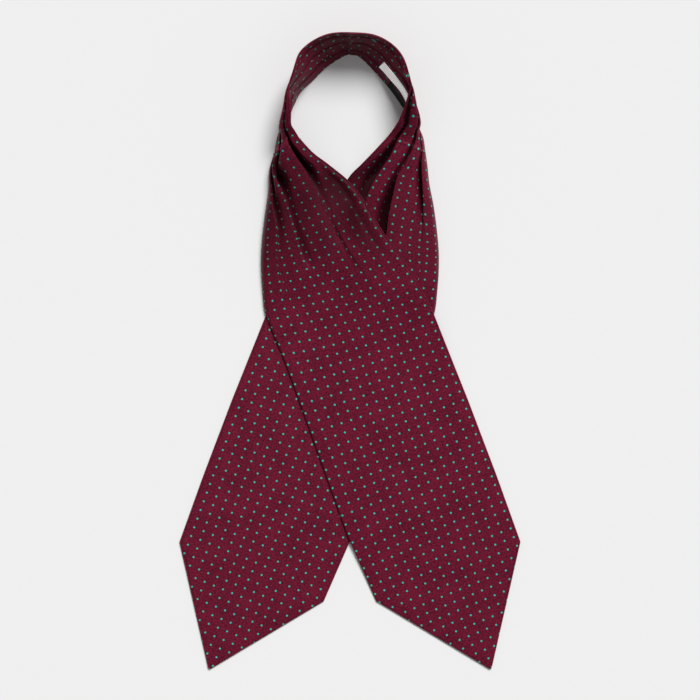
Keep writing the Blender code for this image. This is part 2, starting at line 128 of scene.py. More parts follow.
UNDER_HOLLOWS = [
    Hollow(0.0, 4.0, 3.0, 4.0, 3.0, 1.5, 3.0, 9.0, 0.0, 20.0, 0.05, 0.0),
    Hollow(14.0, 9.5, 10.0, 4.0, 4.5, 6.0, 4.0, 9.0, 0.3, 20.0, 0.12, 0.25),
    Hollow(30.0, 10.5, 14.0, 5.5, 5.0, 8.0, 7.0, 9.0, 0.8, 20.0, 0.10, 0.40),
    Hollow(52.0, 10.0, 17.0, 11.0, 11.0, 6.0, 7.0, 9.0, 1.0, 20.0, 0.20, 0.50),
    Hollow(76.5, 6.0, 16.0, 11.5, 18.0, 1.0, 5.0, 9.0, 1.0, 20.0, 0.18, 0.40),
    Hollow(104.5, 1.0, 12.0, 6.0, 18.0, 0.0, 5.0, 12.0, 1.0, 24.0, 0.12, 0.0),
    Hollow(127.5, 0.0, 6.0, 0.0, 8.0, 0.0, 6.0, 14.0, 1.2, 30.0, 0.08, 0.0),
    Hollow(165.0, 0.0, 6.0, 0.0, 8.0, 0.0, 6.0, 16.0, 0.0, 30.0, 0.0, 0.0),
]

# %% How far the cloth itself has run at each section
# The cut is longer than the way along the middle where a blade swings round, so the
# rows of dots bend. Each row gives the cloth's own distance at the inner edge, at the
# first pleat's lip and at the outer edge.
Run = namedtuple("Run", "along inner lip outer")

CLOTH_RUN = [
    Run(0.0, 0.0, 0.0, 0.0),
    Run(15.0, 18.0, 14.0, 15.0),
    Run(32.0, 36.0, 30.0, 33.0),
    Run(54.5, 60.0, 54.0, 58.0),
    Run(76.5, 81.0, 77.0, 84.0),
    Run(104.5, 113.0, 108.5, 114.0),
    Run(127.5, 135.0, 132.0, 142.0),
    Run(148.0, 153.0, 151.5, 166.0),
    Run(178.0, 183.0, 182.5, 197.0),
    Run(203.0, 208.0, 208.0, 217.5),
    Run(240.0, 244.5, 244.5, 250.0),
    Run(291.5, 294.5, 294.5, 296.0),
    Run(440.5, 440.5, 440.5, 440.5),
    Run(542.0, 539.8, 539.8, 539.8),
]
LIP_CLOTH = (31.0, -14.0)      # where the first two lips are on the flat cut, from its middle

# %% The stations round the neckband
Station = namedtuple("Station", "upper_x upper_y upper_z foot_x foot_y bulge sewn lip_1 lip_2 lip_3 "
                     "dip")

BAND_STATIONS = [
    Station(-49.2, 205.1, 22.0, -72.9, 190.1, 0.0, 1.0, 0.28, 0.63, 0.86, 4.0),
    Station(-53.0, 211.2, 26.0, -70.8, 203.8, 4.0, 0.45, 0.26, 0.60, 0.85, 4.0),
    Station(-56.5, 217.1, 30.5, -66.5, 216.5, 7.8, 0.0, 0.24, 0.58, 0.85, 4.0),
    Station(-56.9, 233.5, 37.0, -57.9, 231.6, 7.7, 0.0, 0.24, 0.55, 0.85, 4.0),
    Station(-58.7, 250.9, 41.0, -49.2, 249.2, 6.0, 0.0, 0.20, 0.50, 0.80, 2.0),
    Station(-54.0, 274.1, 40.5, -36.0, 261.9, 2.5, 0.0, 0.20, 0.50, 0.80, 1.5),
    Station(-48.3, 288.5, 36.0, -24.6, 273.0, 2.0, 0.0, 0.20, 0.50, 0.80, 1.5),
    Station(-35.7, 299.2, 36.0, -15.6, 279.2, 1.5, 0.0, 0.20, 0.50, 0.80, 1.5),
    Station(-19.3, 305.9, 38.0, -6.8, 284.4, 1.5, 0.0, 0.20, 0.50, 0.80, 1.5),
    Station(1.9, 306.9, 40.5, 1.9, 286.2, 1.0, 0.0, 0.20, 0.50, 0.80, 1.5),
    Station(24.1, 304.5, 38.0, 11.0, 283.0, 1.5, 0.0, 0.20, 0.50, 0.80, 1.5),
    Station(42.5, 294.3, 35.0, 22.2, 272.0, 1.5, 0.0, 0.20, 0.50, 0.80, 1.5),
    Station(53.1, 279.9, 38.5, 30.7, 263.0, 2.0, 0.0, 0.20, 0.50, 0.80, 1.5),
    Station(57.9, 255.7, 40.0, 41.8, 249.9, 7.0, 0.0, 0.15, 0.48, 0.80, 3.5),
    Station(54.5, 240.3, 34.5, 51.5, 236.0, 10.6, 0.0, 0.10, 0.45, 0.78, 4.0),
    Station(47.3, 222.0, 25.0, 63.5, 219.0, 13.5, 0.0, 0.12, 0.42, 0.75, 4.0),
    Station(42.6, 214.2, 19.5, 70.5, 206.0, 7.0, 0.45, 0.17, 0.49, 0.76, 4.0),
    Station(36.7, 206.5, 14.0, 72.9, 191.1, 0.0, 1.0, 0.22, 0.55, 0.77, 4.0),
]
RING_CENTRE = np.array([0.0, 228.0, 0.0])
OVER_SECTIONS = OVER_TOP + BOTH_LOW
UNDER_SECTIONS = UNDER_TOP + BOTH_LOW
print("sections of a blade:", len(OVER_SECTIONS), "stations of the band:", len(BAND_STATIONS))

# %% [markdown]
# ## Curves through the tables
# A smooth curve that passes through every row is a Catmull-Rom curve. Past the row
# where a blade lies flat its edges are straight, so straight lines take over there.
# Working on whole arrays of points with numpy keeps a fine mesh quick to make.

# %% Helpers for tables and points
def lerp(a, b, share):
    return a + (b - a) * share


def ease(share):
    share = np.clip(share, 0.0, 1.0)
    return share * share * (3.0 - 2.0 * share)


def unit(vectors):
    return vectors / np.maximum(np.linalg.norm(vectors, axis=-1, keepdims=True), 1e-9)


def even_steps(start, end, step):
    return np.linspace(start, end, max(2, math.ceil((end - start) / step) + 1))


def placed(points):
    """Points of the plan view, in millimetres, as places in the room, in metres."""
    nearness = 1.0 - points[..., 2] / VIEW_HEIGHT
    x = points[..., 0] * nearness
    y = points[..., 1] * nearness + FRAME_SHIFT
    return np.stack([x, y, points[..., 2]], axis=-1) * MM


def table_at(keys, rows, key, straight_from=math.inf):
    """The table's row at a key between its own: a smooth curve, then straight lines."""
    last = len(keys) - 1
    at = max(i for i in range(last) if keys[i] <= key or i == 0)
    span = keys[at + 1] - keys[at]
    share = (key - keys[at]) / span
    start, end = np.array(rows[at], float), np.array(rows[at + 1], float)
    slope = (end - start) / span
    if keys[at] >= straight_from:
        return type(rows[0])(*(start + slope * (key - keys[at])))
    before, after = slope, slope
    if at > 0:
        before = (end - np.array(rows[at - 1])) / (keys[at + 1] - keys[at - 1])
    if at + 2 <= last and keys[at + 1] < straight_from:
        after = (np.array(rows[at + 2]) - start) / (keys[at + 2] - keys[at])
    elif at + 2 <= last:
        after = (np.array(rows[at + 2]) - end) / (keys[at + 2] - keys[at + 1])
    square, cube = share * share, share * share * share
    found = (start * (2 * cube - 3 * square + 1) + before * span * (cube - 2 * square + share)
             + end * (3 * square - 2 * cube) + after * span * (cube - square))
    return type(rows[0])(*found)


# %% The plain curve of a section, over the crown and down to the table
def side_length(roll, height):
    """Length of the quarter ellipse that carries the side down to the table."""
    return math.pi / 2 * math.sqrt((roll * roll + height * height) / 2)


def shoulder_curve(inner, outer, rim, crown, roll):
    """Gives the curve as a function, the distance to the shoulder, and the whole length."""
    direction = unit(outer - inner)
    top = np.linalg.norm(outer - inner) - roll
    shoulder = crown * (1.0 - SHOULDER_DROP)
    side = side_length(roll, shoulder)

    def at(distance):
        share = distance / top
        rising = rim + (crown - rim) * np.sin(np.pi / 2 * np.clip(share / CROWN_AT, 0, 1))
        fall = np.clip((share - CROWN_AT) / (1 - CROWN_AT), 0, 1)
        height = np.where(share < CROWN_AT, rising, crown * (1.0 - SHOULDER_DROP * fall * fall))
        angle = np.pi / 2 * np.clip((distance - top) / side, 0, 1)
        beyond = distance > top
        reach = np.where(beyond, top + roll * np.sin(angle), distance)
        height = np.where(beyond, shoulder * np.cos(angle), height)
        points = inner + direction * reach[..., None]
        points[..., 2] = height
        return points

    return at, top, top + side


# %% [markdown]
# ## Across a section: strips, pleats and edges
# A knife pleat is a Z of cloth. Seen from the top it is a lip with a step beside it,
# and the cloth runs a little way under the lip before it comes back. A grid of points
# can make it when the points go out, back and out again across the fold. The edge of a
# blade is turned in, which leaves a fine groove a thread or two inside it.

# %% Places of the points across a section
STRIP_POINTS = (22, 20, 16, 30)
EDGE_INSETS = (0.0, 0.22, 0.6, 1.1, 1.5, 1.85, 2.2, 2.8)
EDGE_DEPTHS = (0.80, 0.32, 0.06, 0.0, 0.14, 0.34, 0.12, 0.0)
FULL_EDGE = 14.0         # a narrower strip has a smaller turned edge
TUCK = 1.7               # how far the cloth runs under a deep pleat's lip
FOLDED_FROM = 0.9        # a step deeper than this starts to run under its lip
FOLDED_OVER = 1.6
LIP_ROUND = 1.4          # how far from its edge a lip is rounded
LIP_DROP = 0.22          # how much it drops there, for each mm of its step
LIP_DROP_MOST = 0.5
PUFF = 0.7               # how much a strip swells between its pleats
PUFF_WIDTH = 20.0        # a narrower strip swells less

# Across a fold, from the foot of the step: place from -1 (foot) over 0 (lip) to 1 (end
# of the tuck), and the share of the step's depth
FOLD_PLACES = (-0.45, 0.35, 0.85, 1.0, 0.75, 0.25, -0.12)
FOLD_DEPTHS = (1.0, 1.0, 0.97, 0.85, 0.68, 0.55, 0.36)
LINING_PLACES = (0.0, 0.6, 1.0)          # the same for the lining, from end to end
LINING_DEPTHS = (1.0, 1.0, 0.3)

Across = namedtuple("Across", "distance depth behind behind_depth cloth")


def strip_places(start, end, count, turned_start, turned_end):
    """Places of the points over one strip, closer together at a turned edge."""
    insets = np.array(EDGE_INSETS) * min(1.0, (end - start) / FULL_EDGE)
    first = start + insets if turned_start else np.array([start])
    last = end - insets[::-1] if turned_end else np.array([end])
    middle = np.linspace(first[-1], last[0], count)
    return np.concatenate([first[:-1], middle, last[1:]])


def edge_groove(distance, width):
    """Depth of the rounded and stitched-down edge at a distance from it."""
    scale = min(1.0, width / FULL_EDGE)
    return np.interp(distance / scale, EDGE_INSETS, EDGE_DEPTHS) * scale


def across_section(lips, dips, reaches, whole, step, swell):
    """The points across one section, from the inner edge to the outer one. distance and
    depth place the outer face, behind and behind_depth the lining, cloth the pattern."""
    starts = [0.0] + list(lips)
    ends = [lip - step for lip in lips] + [whole]
    distance, depth, behind, behind_depth, cloth = [], [], [], [], []
    for number, (start, end) in enumerate(zip(starts, ends)):
        foot = dips[number] if number < 3 else 0.0
        places = strip_places(start, end, STRIP_POINTS[number], number == 0, number == 3)
        reach = max(0.1, min(end - start, reaches[number])) if number < 3 else 1.0
        down = foot * (1.0 - ease((end - places) / reach))
        if number > 0:
            rounding = min(LIP_DROP_MOST, LIP_DROP * dips[number - 1])
            down = down + rounding * (1.0 - ease((places - start) / LIP_ROUND))
        if number < 3:
            share = (places - start) / max(end - start, 0.1)
            puff = swell * PUFF * min(1.0, (end - start) / PUFF_WIDTH)
            down = down - puff * np.sin(np.pi * share) ** 2
        arc = np.concatenate([[0.0], np.cumsum(np.hypot(np.diff(places), np.diff(down)))])
        distance.append(places)
        depth.append(down)
        behind.append(places)
        behind_depth.append(down)
        if number == 0:
            cloth.append(HALF - arc * min(1.0, (HALF - LIP_CLOTH[0]) / arc[-1]))
        elif number == 1:
            cloth.append(LIP_CLOTH[0] - arc * min(1.0, (LIP_CLOTH[0] - LIP_CLOTH[1]) / arc[-1]))
        elif number == 2:
            cloth.append(LIP_CLOTH[1] - arc)
        else:
            cloth.append(arc[-1] - arc - HALF)
        if number < 3:
            folded = float(ease((foot - FOLDED_FROM) / FOLDED_OVER))
            tuck = TUCK * folded
            even = np.linspace(0, 1, len(FOLD_PLACES) + 2)[1:-1]
            place = np.array(FOLD_PLACES)
            fold = np.where(place < 0, place * step, place * tuck) + lips[number]
            distance.append(lerp(end + even * step, fold, folded))
            depth.append(lerp(foot * (1 - even), foot * np.array(FOLD_DEPTHS), folded))
            behind.append(end + even * (step + CLOTH * folded))
            behind_depth.append(foot * np.interp(even, LINING_PLACES, LINING_DEPTHS))
            cloth.append(np.full(len(even), np.nan))
    cloth = np.concatenate(cloth)
    hidden = np.isnan(cloth)
    index = np.arange(len(cloth))
    cloth[hidden] = np.interp(index[hidden], index[~hidden], cloth[~hidden])
    distance, depth = np.concatenate(distance), np.concatenate(depth)
    behind, behind_depth = np.concatenate(behind), np.concatenate(behind_depth)
    depth = depth + edge_groove(distance, whole) + edge_groove(whole - distance, whole)
    return Across(distance, depth, behind, np.maximum(behind_depth, 0.0), cloth)


print("points across a section:", sum(STRIP_POINTS) + 3 * len(FOLD_PLACES) + 2 * len(EDGE_INSETS) - 2)

# %% [markdown]
# ## From sections to the faces of a blade
# Each section gives a line of points on the smooth form. The pleats are then pressed in
# along the form's own normal, so a deep pleat on the rolled side still points inwards.
# The pattern's coordinates are kept beside the points: they are the place on the flat
# cut, in millimetres, so dots and twill follow every fold as woven cloth does.

# %% Rows of a blade
FOLD_ROWS = 1.6
OPEN_ROWS = 3.0
FLAT_ROWS = 6.0
TIP_ROWS = 4.0
LOFT = 0.45              # the soft unevenness of cloth that isn't pressed to the table
LOFT_SIZE = 55.0
LOFT_RAISED = 0.6        # more of it goes up than down
LOFT_FROM = 12.0         # it starts this far in from an edge
PLEATS_END = (100.0, 60.0)       # from this distance and over this length they open out
PATTERN_FLAT = (140.0, 55.0)     # and from here the dots run straight across
STEP_SHARES = (0.035, 0.1)       # the widest steps as a share of the width, open and folded
NEAR = 0.4               # between the two points that give a slope
LOWEST_FACE = 0.35 * CLOTH
TROUGH_START = 3.5       # the turned edge stays up this far in
# Painted shade: the trough and the pressed pleats beside the seams darken the silk
TROUGH_SHADE = 1.4       # the trough darkens the silk as a pleat this much deeper would
SEAM_SHADE = 2.4         # the pressed pleats beside the seams are nearly closed, so darker
SEAM_SHADE_LENGTH = 26.0

Faces = namedtuple("Faces", "front back cloth hollow shade")


def loft(points, seed):
    """A slow, small unevenness at each point of a grid."""
    flat = points.reshape(-1, 3)
    values = [noise.noise(Vector((p[0], p[1], seed)) / LOFT_SIZE) for p in flat]
    values = np.array(values).reshape(points.shape[:-1])
    return LOFT * (values + LOFT_RAISED)


def row_places():
    """Distances from the seam at which a blade has a row of points."""
    return np.concatenate([
        even_steps(SEWN_GAP / 2, 115.0, FOLD_ROWS)[:-1],
        even_steps(115.0, FLAT_FROM, OPEN_ROWS)[:-1],
        even_steps(FLAT_FROM, CORNERS_AT, FLAT_ROWS)[:-1],
        even_steps(CORNERS_AT, OVER_SECTIONS[-1].along, TIP_ROWS),
    ])


def cloth_run(along, cloth_across):
    """The cloth's own distance, a parabola through the three columns of the table."""
    row = table_at([r.along for r in CLOTH_RUN], CLOTH_RUN, along, FLAT_FROM)
    a, b, c = HALF, LIP_CLOTH[0], -HALF
    u = cloth_across
    return (row.inner * (u - b) * (u - c) / ((a - b) * (a - c))
            + row.lip * (u - a) * (u - c) / ((b - a) * (b - c))
            + row.outer * (u - a) * (u - b) / ((c - a) * (c - b)))


def tip_cloth(points):
    """Place on the flat cut of points beyond the corners, from the corners' own line."""
    corner = OVER_SECTIONS[-2]
    inner = np.array([corner.inner_x, corner.inner_y])
    outer = np.array([corner.outer_x, corner.outer_y])
    width = np.linalg.norm(outer - inner)
    side = (outer - inner) / width
    down = np.array([-side[1], side[0]])
    offset = points[..., :2] - inner
    run = CLOTH_RUN[-1]
    before = CLOTH_RUN[-2]
    scale = (run.inner - before.inner) / (run.along - before.along)
    across = HALF - offset @ side * 2 * HALF / width
    return np.stack([across, before.inner + offset @ down * scale], axis=-1)


def blade_row(sections, hollows, along):
    """One row: plain points, the direction across, the lining, the depths of the two
    faces, the pattern's coordinates, and the painted shade of each point, as a depth and
    as a share of the light kept off."""
    row = table_at([r.along for r in sections], sections, along, FLAT_FROM)
    last = hollows[-1].along
    hollow = table_at([r.along for r in hollows], hollows, min(along, last))
    inner = np.array([row.inner_x, row.inner_y, 0.0])
    outer = np.array([row.outer_x, row.outer_y, 0.0])
    face, top, whole = shoulder_curve(inner, outer, row.rim, row.crown, row.roll)
    direction, width = unit(outer - inner), np.linalg.norm(outer - inner)
    # at the tip, which is narrower than the wall is thick, the lining keeps within it
    lining, lining_top, lining_whole = shoulder_curve(
        inner, outer - direction * min(CLOTH, 0.3 * width), max(0.0, row.rim - CLOTH),
        max(0.0, row.crown - CLOTH), max(0.1 * row.roll, row.roll - CLOTH))
    dips = [max(0.0, dip) for dip in (hollow.dip_1, hollow.dip_2, hollow.dip_3)]
    reaches = (hollow.reach_1, hollow.reach_2, hollow.reach_3)
    folded = 1.0 - float(ease((along - PLEATS_END[0]) / PLEATS_END[1]))
    step = lerp(min(OPEN_STEP, STEP_SHARES[0] * width), min(FOLD_STEP, STEP_SHARES[1] * width), folded)
    places = across_section((row.lip_1, row.lip_2, row.lip_3), dips, reaches, whole, step, folded)
    plain = face(places.distance)
    tangent = unit(face(places.distance + NEAR) - face(np.maximum(places.distance - NEAR, 0.0)))
    behind = np.where(places.behind <= top, places.behind / top * lining_top,
                      lerp(lining_top, lining_whole, (places.behind - top) / (whole - top)))
    sinking = ease((places.distance - TROUGH_START) / (hollow.trough - TROUGH_START))
    rising = ease(np.maximum(0.0, places.distance - hollow.trough) / hollow.length)
    trough = max(0.0, hollow.depth) * sinking * (1.0 - rising)
    flat = float(ease((along - PATTERN_FLAT[0]) / PATTERN_FLAT[1]))
    across = lerp(places.cloth, HALF - 2 * HALF * places.distance / whole, flat)
    cloth = np.stack([across, cloth_run(along, across)], axis=-1)
    if along > CORNERS_AT:
        cloth = tip_cloth(plain)
    # Painted shade: a point deep in a pleat, more so near the seam, or in the trough is drawn darker, and
    # so is one where the ring and the folds keep light off
    closed = 1.0 - float(ease(along / SEAM_SHADE_LENGTH))
    painted_shade = places.depth * lerp(1.0, SEAM_SHADE, closed) + TROUGH_SHADE * trough
    shade = hollow.shade + hollow.rim * (1.0 - ease(places.distance / row.lip_1))
    return (plain, tangent, lining(behind), places.depth + trough, places.behind_depth + trough,
            cloth, painted_shade, np.clip(shade, 0.0, 1.0))


# %% Faces of a blade
PRESS_DOWN = np.array([0.0, 0.0, 0.9])     # pleats are pressed in more downwards than sideways


def along_differences(grid):
    change = np.empty_like(grid)
    change[1:-1] = grid[2:] - grid[:-2]
    change[0] = grid[1] - grid[0]
    change[-1] = grid[-1] - grid[-2]
    return change


def blade_faces(sections, hollows, side, seed):
    """The two faces of a blade, in plan millimetres, with what each point carries.
    side is 1, or -1 for the mirror image."""
    rows = [blade_row(sections, hollows, along) for along in row_places()]
    plain, tangent, lining, depth, back_depth, cloth, painted_shade, shade = (
        np.array(part) for part in zip(*rows))
    normal = unit(np.cross(tangent, along_differences(plain)))
    normal = np.where(normal[..., 2:] < -0.2, -normal, normal)
    inwards = unit(normal + PRESS_DOWN)
    front = plain - inwards * depth[..., None]
    front[..., 2] = np.maximum(front[..., 2], np.minimum(plain[..., 2], LOWEST_FACE))
    rise = loft(plain, seed)
    for edge in (plain[:, :1], plain[:, -1:]):
        rise = rise * ease(np.linalg.norm(plain - edge, axis=-1) / LOFT_FROM)
    front = front + normal * rise[..., None]
    back = lining - inwards * back_depth[..., None]
    back[..., 2] = np.maximum(back[..., 2], 0.0)
    front[..., 0] *= side
    back[..., 0] *= side
    return Faces(front, back, cloth, painted_shade, shade)


under_faces = blade_faces(UNDER_SECTIONS, UNDER_HOLLOWS, -1, 40.0)
over_faces = blade_faces(OVER_SECTIONS, OVER_HOLLOWS, 1, 0.0)
print("points on one face of a blade:", under_faces.front.shape[:2])

# %% [markdown]
# ## Closed walls
# Every piece is a closed shell: two grids of the same size and a rim that joins them.
# A single open sheet would render too, but it has no thickness at its edges, and the
# edges of a cravat are where the eye reads how heavy the silk is.

# %% A closed wall between two grids
def closed_wall(name, front, back, cloth, finish, hollow=0.0, shade=0.0):
    """front and back are grids in metres. cloth is the pattern's coordinates, hollow the
    painted shade of each point as how deep it lies in a pleat, and shade the painted shade
    as the share of the light kept off it, each for one face or as a pair for the two."""
    rows, across = front.shape[:2]
    count = rows * across
    points = np.concatenate([front.reshape(-1, 3), back.reshape(-1, 3)])
    index = np.arange(count).reshape(rows, across)
    a, b = index[:-1, :-1].ravel(), index[:-1, 1:].ravel()
    c, d = index[1:, 1:].ravel(), index[1:, :-1].ravel()
    outside = np.stack([a, b, c, d], axis=1)
    inside = np.stack([d, c, b, a], axis=1) + count
    ring = np.concatenate([index[:, 0], index[-1, 1:], index[-2::-1, -1], index[0, -2:0:-1]])
    after = np.roll(ring, -1)
    rim = np.stack([ring, after, after + count, ring + count], axis=1)
    mesh = bpy.data.meshes.new(name)
    mesh.from_pydata(points.tolist(), [], np.concatenate([outside, inside, rim]).tolist())
    layer = mesh.uv_layers.new(name="cloth")
    both = np.broadcast_to(cloth, (2, rows, across, 2)).reshape(-1, 2)
    corners = np.empty(len(mesh.loops), dtype=np.int64)
    mesh.loops.foreach_get("vertex_index", corners)
    layer.uv.foreach_set("vector", both[corners].astype(np.float32).ravel())
    for word, values in (("hollow", hollow), ("shade", shade)):
        values = np.broadcast_to(values, (2, rows, across)).astype(np.float32).ravel()
        mesh.attributes.new(word, "FLOAT", "POINT").data.foreach_set("value", values)
    shell = bmesh.new()
    shell.from_mesh(mesh)
    bmesh.ops.recalc_face_normals(shell, faces=shell.faces)
    if shell.calc_volume(signed=True) < 0:
        bmesh.ops.reverse_faces(shell, faces=shell.faces)
    shell.to_mesh(mesh)
    shell.free()
    mesh.materials.append(finish)
    mesh.shade_smooth()
    mesh.set_sharp_from_angle(angle=math.radians(60))
    piece = bpy.data.objects.new(name, mesh)
    bpy.context.scene.collection.objects.link(piece)
    print(f"{name}: {len(mesh.polygons)} faces")
    return piece


# %% [markdown]
# ## Burgundy silk twill with woven pin dots
# Printed or woven neckwear silk is a twill: fine diagonal ribs, a soft directional
# sheen that follows the folds, never a hard highlight. The dots are woven in a teal
# weft, so they sit a hair above the ground, and a slightly darker ring is drawn round
# each. The rib of real silk is about 0.35 mm, finer than a pixel here, so it is drawn
# three times as coarse and faint. Real folds are closer than a mesh of this size can
# be, so each point also carries how deep it lies in a pleat, in mm, and the share of
# the light that the folds round it keep off. From both, painted shade is mixed into the
# silk's colour, in every view alike.

# %% Adding a node
def linear(code):
    """An sRGB hex colour as the linear values that Blender's sockets take."""
    parts = [int(code[i:i + 2], 16) / 255 for i in (1, 3, 5)]
    return (*[p / 12.92 if p <= 0.04045 else ((p + 0.055) / 1.055) ** 2.4 for p in parts], 1.0)


def add(tree, kind, inputs=(), **options):
    """Adds a node. inputs pairs a socket with a value or with another node's output."""
    made = tree.nodes.new(kind)
    for option, value in options.items():
        setattr(made, option, value)
    for socket, value in dict(inputs).items():
        if isinstance(value, bpy.types.NodeSocket):
            tree.links.new(value, made.inputs[socket])
        else:
            made.inputs[socket].default_value = value
    return made


def new_material(name):
    """A material with its tree, and the shader that its other nodes feed."""
    made = bpy.data.materials.new(name)
    made.use_nodes = True
    return made, made.node_tree, made.node_tree.nodes["Principled BSDF"]


# %% Sizes of the pattern
DOT_ACROSS = 9.5         # between columns of dots, on the flat cloth
DOT_ALONG = 8.8          # between rows
DOT_RADIUS = 0.88
UNDER_SHIFT = np.array([0.0, 0.0])       # where the dots start on each blade
OVER_SHIFT = np.array([-4.0, -2.7])
DOT_BLUR = 0.25          # over which a dot's edge fades
RING_FROM = 0.1          # the darker ring round a dot, beyond its radius
RING_TO = 1.0
RIB = 1.1                # drawn three times as coarse as the real rib
RIB_ANGLE = math.radians(52)
RIB_TONE = 0.12          # how much the rib, the mottle and the grain move the tone
MOTTLE_TONE = 0.45
GRAIN_TONE = 1.5
TONES = (0.62, 1.33)     # the values of their sum that give the dark and the light silk
# The next two set the painted shade in the pleats: the depth where it starts and how far it goes
SHADE_DEPTHS = (0.8, 8.5)     # depths, in mm, where the silk starts to darken and is darkest
DARKEST = 0.93
DOT_RELIEF = 1.2         # of a dot against the rib

# %% Silk twill
def silk_twill():
    made, tree, shader = new_material("silk_twill")
    place = add(tree, "ShaderNodeUVMap", uv_map="cloth").outputs["UV"]
    half_cell = (DOT_ACROSS / 2, DOT_ALONG / 2, 0.0)
    cell = add(tree, "ShaderNodeVectorMath", {0: place, 1: half_cell, 2: [-v for v in half_cell]},
               operation="WRAP").outputs[0]
    length = add(tree, "ShaderNodeVectorMath", {0: cell}, operation="LENGTH").outputs["Value"]
    dot = add(tree, "ShaderNodeMapRange",
              {"Value": length, "From Min": DOT_RADIUS + DOT_BLUR, "From Max": DOT_RADIUS - DOT_BLUR},
              interpolation_type="SMOOTHSTEP").outputs[0]
    # A slightly darker ring is drawn round each dot.
    ring = add(tree, "ShaderNodeMapRange",
               {"Value": length, "From Min": DOT_RADIUS + RING_TO, "From Max": DOT_RADIUS + RING_FROM},
               interpolation_type="SMOOTHSTEP").outputs[0]
    turn = 2 * math.pi / RIB
    rib_way = (math.cos(RIB_ANGLE) * turn, math.sin(RIB_ANGLE) * turn, 0.0)
    phase = add(tree, "ShaderNodeVectorMath", {0: place, 1: rib_way},
                operation="DOT_PRODUCT").outputs["Value"]
    rib = add(tree, "ShaderNodeMath", {0: phase}, operation="SINE").outputs[0]
    room = add(tree, "ShaderNodeTexCoord").outputs["Object"]
    mottle = add(tree, "ShaderNodeTexNoise", {"Vector": room, "Scale": 45.0, "Detail": 3.0,
                                              "Roughness": 0.6}).outputs["Fac"]
    grain = add(tree, "ShaderNodeTexNoise", {"Vector": place, "Scale": 0.6, "Detail": 1.0,
                                             "Roughness": 0.9}).outputs["Fac"]
    mottle = add(tree, "ShaderNodeMath", {0: mottle, 1: MOTTLE_TONE}, operation="MULTIPLY").outputs[0]
    tone = add(tree, "ShaderNodeMath", {0: rib, 1: RIB_TONE, 2: mottle},
               operation="MULTIPLY_ADD").outputs[0]
    tone = add(tree, "ShaderNodeMath", {0: grain, 1: GRAIN_TONE, 2: tone},
               operation="MULTIPLY_ADD").outputs[0]
    tone = add(tree, "ShaderNodeMapRange", {"Value": tone, "From Min": TONES[0], "From Max": TONES[1]})
    # Painted shade: the depth in a pleat and the share of light kept off both darken the silk toward the
    # shaded silk colour
    depth = add(tree, "ShaderNodeAttribute", attribute_name="hollow").outputs["Fac"]
    painted_shade = add(tree, "ShaderNodeMapRange",
               {"Value": depth, "From Min": SHADE_DEPTHS[0], "From Max": SHADE_DEPTHS[1], "To Max": DARKEST},
               interpolation_type="SMOOTHSTEP").outputs[0]
    kept_off = add(tree, "ShaderNodeAttribute", attribute_name="shade").outputs["Fac"]
    colour = add(tree, "ShaderNodeMix", {"Factor": tone.outputs[0], "A": linear(SILK_DARK),
                                         "B": linear(SILK_LIGHT)}, data_type="RGBA")
    for share, code in ((ring, DOT_EDGE), (dot, DOT_TEAL), (kept_off, SILK_PAINTED_SHADE), (painted_shade, SILK_PAINTED_SHADE)):
        under_it = colour.outputs["Result"]
        colour = add(tree, "ShaderNodeMix", {"Factor": share, "B": linear(code)}, data_type="RGBA")
        tree.links.new(under_it, colour.inputs["A"])
    relief = add(tree, "ShaderNodeMath", {0: dot, 1: DOT_RELIEF, 2: rib},
                 operation="MULTIPLY_ADD").outputs[0]
    bump = add(tree, "ShaderNodeBump", {"Height": relief, "Distance": 0.00006, "Strength": 0.6})
    tree.links.new(colour.outputs["Result"], shader.inputs["Base Color"])
    tree.links.new(bump.outputs["Normal"], shader.inputs["Normal"])
    shader.inputs["Roughness"].default_value = 0.5
    shader.inputs["Specular IOR Level"].default_value = 0.17
    shader.inputs["Sheen Weight"].default_value = 0.1
    shader.inputs["IOR"].default_value = 1.54
    shader.inputs["Specular Tint"].default_value = (1.0, 0.35, 0.45, 1.0)
    shader.inputs["Sheen Roughness"].default_value = 0.4
    shader.inputs["Sheen Tint"].default_value = linear("#d06a80")
    return made


SILK_DARK = "#3a0918"
SILK_LIGHT = "#7c1c37"
# The shaded silk colour that the painted shade of the folds and the ring mixes in
SILK_PAINTED_SHADE = "#180408"
DOT_EDGE = "#4c1620"
DOT_TEAL = "#34bdb2"
silk = silk_twill()
print("silk nodes:", len(silk.node_tree.nodes))

# %% [markdown]
# ## The two blades
# The under blade lies on the table. The over blade is first made as if it lay there too,
# and is then lifted clear: rays go straight down from above each of its points and
# find the highest part of the under blade nearby. The lift is eased over its
# neighbours, so the cloth comes down from what it lies on in a slope, not a step.

# %% The over blade laid on the under blade
RIDE_RADIUS = 9.0
RIDE_RINGS = ((0.0, 1), (0.5, 6), (1.0, 8))      # share of the radius, and places round it
RIDE_SMOOTHING = 60


def highest_near(tree, x, y):
    """The highest point of a surface near a place, or the table."""
    found = 0.0
    for reach, turns in RIDE_RINGS:
        for turn in range(turns):
            angle = 2 * math.pi * turn / turns
            radius = RIDE_RADIUS * MM * reach
            start = Vector((x + radius * math.cos(angle), y + radius * math.sin(angle), 1.0))
            hit = tree.ray_cast(start, Vector((0, 0, -1)))[0]
            if hit is not None:
                found = max(found, hit.z)
    return found


def lift_over(back, carrier):
    """How far each point of a blade has to rise to lie on the piece that carries it."""
    body = bmesh.new()
    body.from_mesh(carrier.data)
    tree = BVHTree.FromBMesh(body)
    body.free()
    rows, across = back.shape[:2]
    surface = [highest_near(tree, p[0], p[1]) for p in back.reshape(-1, 3)]
    surface = np.array(surface).reshape(rows, across)
    need = np.where(surface > 0, surface + CLEARANCE * MM - back[..., 2], 0.0).clip(0.0)
    lift = need.copy()
    for _ in range(RIDE_SMOOTHING):
        wide = np.pad(lift, 1, mode="edge")
        near = (wide[:-2, 1:-1] + wide[2:, 1:-1] + wide[1:-1, :-2] + wide[1:-1, 2:]) / 4
        lift = np.maximum(need, near)
    return lift


